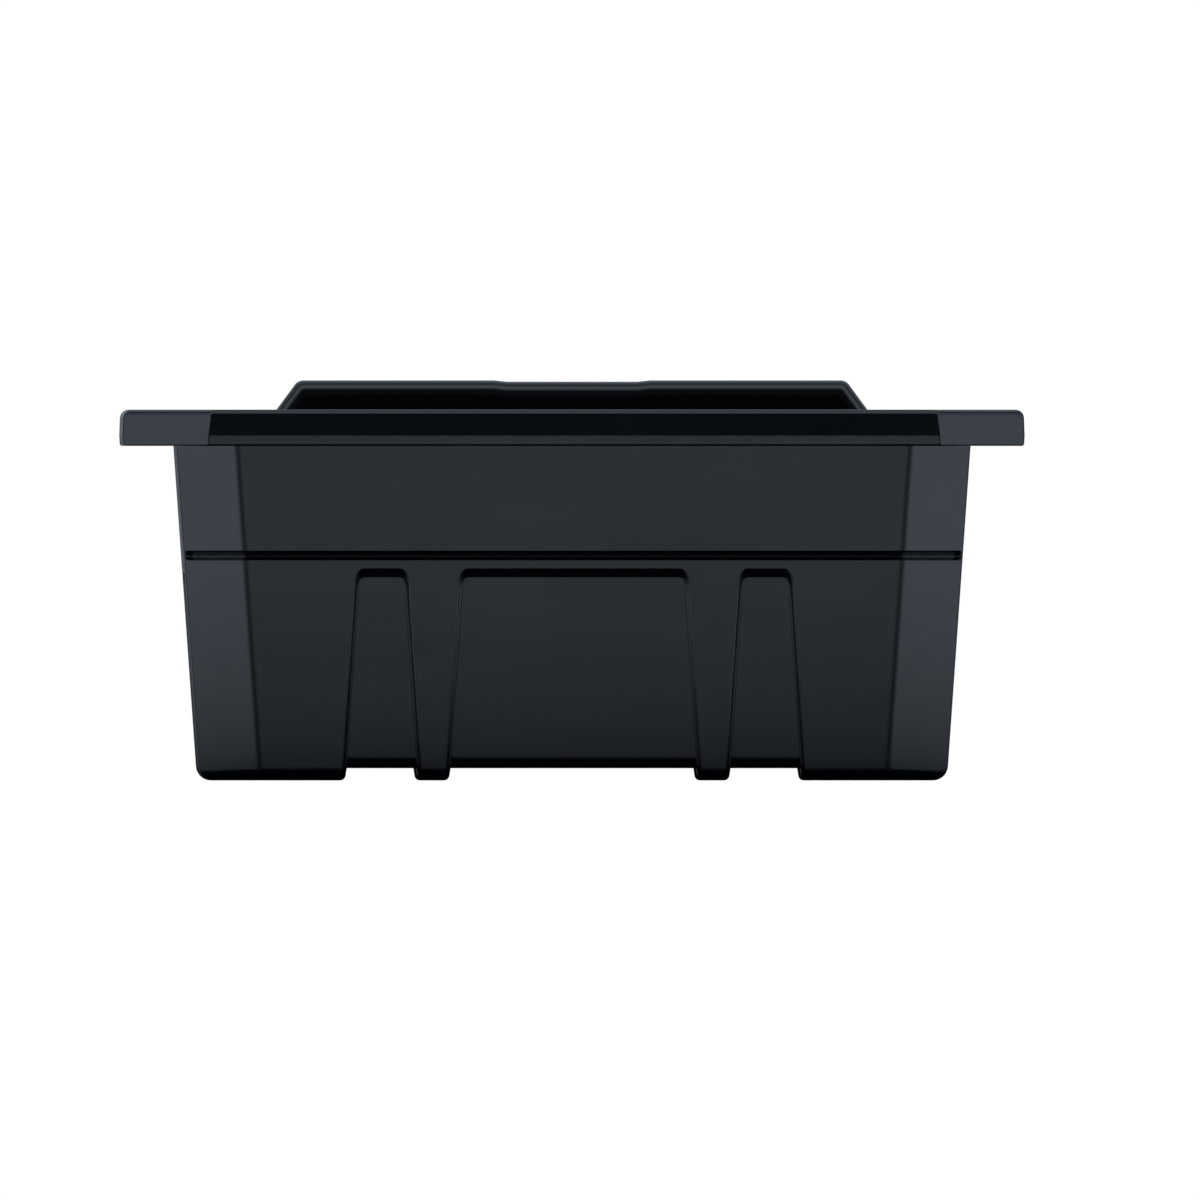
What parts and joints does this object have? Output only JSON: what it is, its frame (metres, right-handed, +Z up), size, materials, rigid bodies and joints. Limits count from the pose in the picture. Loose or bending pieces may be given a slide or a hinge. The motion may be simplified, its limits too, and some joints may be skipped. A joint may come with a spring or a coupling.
{
  "type": "mortar mixing tub",
  "caption": "Black moulded mixing tub with chamfered corners, a skirted rim, recessed lower panels with feet, and a fold-down carry handle across the middle.",
  "frame": {"origin": "middle of the footprint, on the surface that the feet stand on", "axes": "+X along the tub's length, +Y from the front to the back across its width, +Z up"},
  "size_m": [0.598, 0.4, 0.2652],
  "materials": {
    "tub_polypropylene": "satin black polypropylene with a fine moulded grain",
    "handle_polypropylene": "satin black polypropylene, smooth where the hand holds it",
    "cap_polyamide": "matte black polyamide",
    "bush_acetal": "natural white acetal",
    "pin_steel": "ground steel",
    "screw_zinc_steel": "zinc plated steel"
  },
  "bodies": {
    "tub": {"tub_shell": "tub_polypropylene", "pivot_bush_left": "bush_acetal", "pivot_bush_right": "bush_acetal", "bearing_cap_left": "cap_polyamide", "bearing_cap_right": "cap_polyamide", "cap_screw_left_front": "screw_zinc_steel", "cap_screw_left_rear": "screw_zinc_steel", "cap_screw_right_front": "screw_zinc_steel", "cap_screw_right_rear": "screw_zinc_steel"},
    "handle": {"carry_handle": "handle_polypropylene", "axle_pin_left": "pin_steel", "axle_pin_right": "pin_steel"}
  },
  "joints": [
    {"name": "handle_fold", "type": "hinge", "parent": "tub", "child": "handle", "pos_m": [0, 0, 0.212], "axis": [1, 0, 0], "range_deg": [-90, 90]}
  ]
}
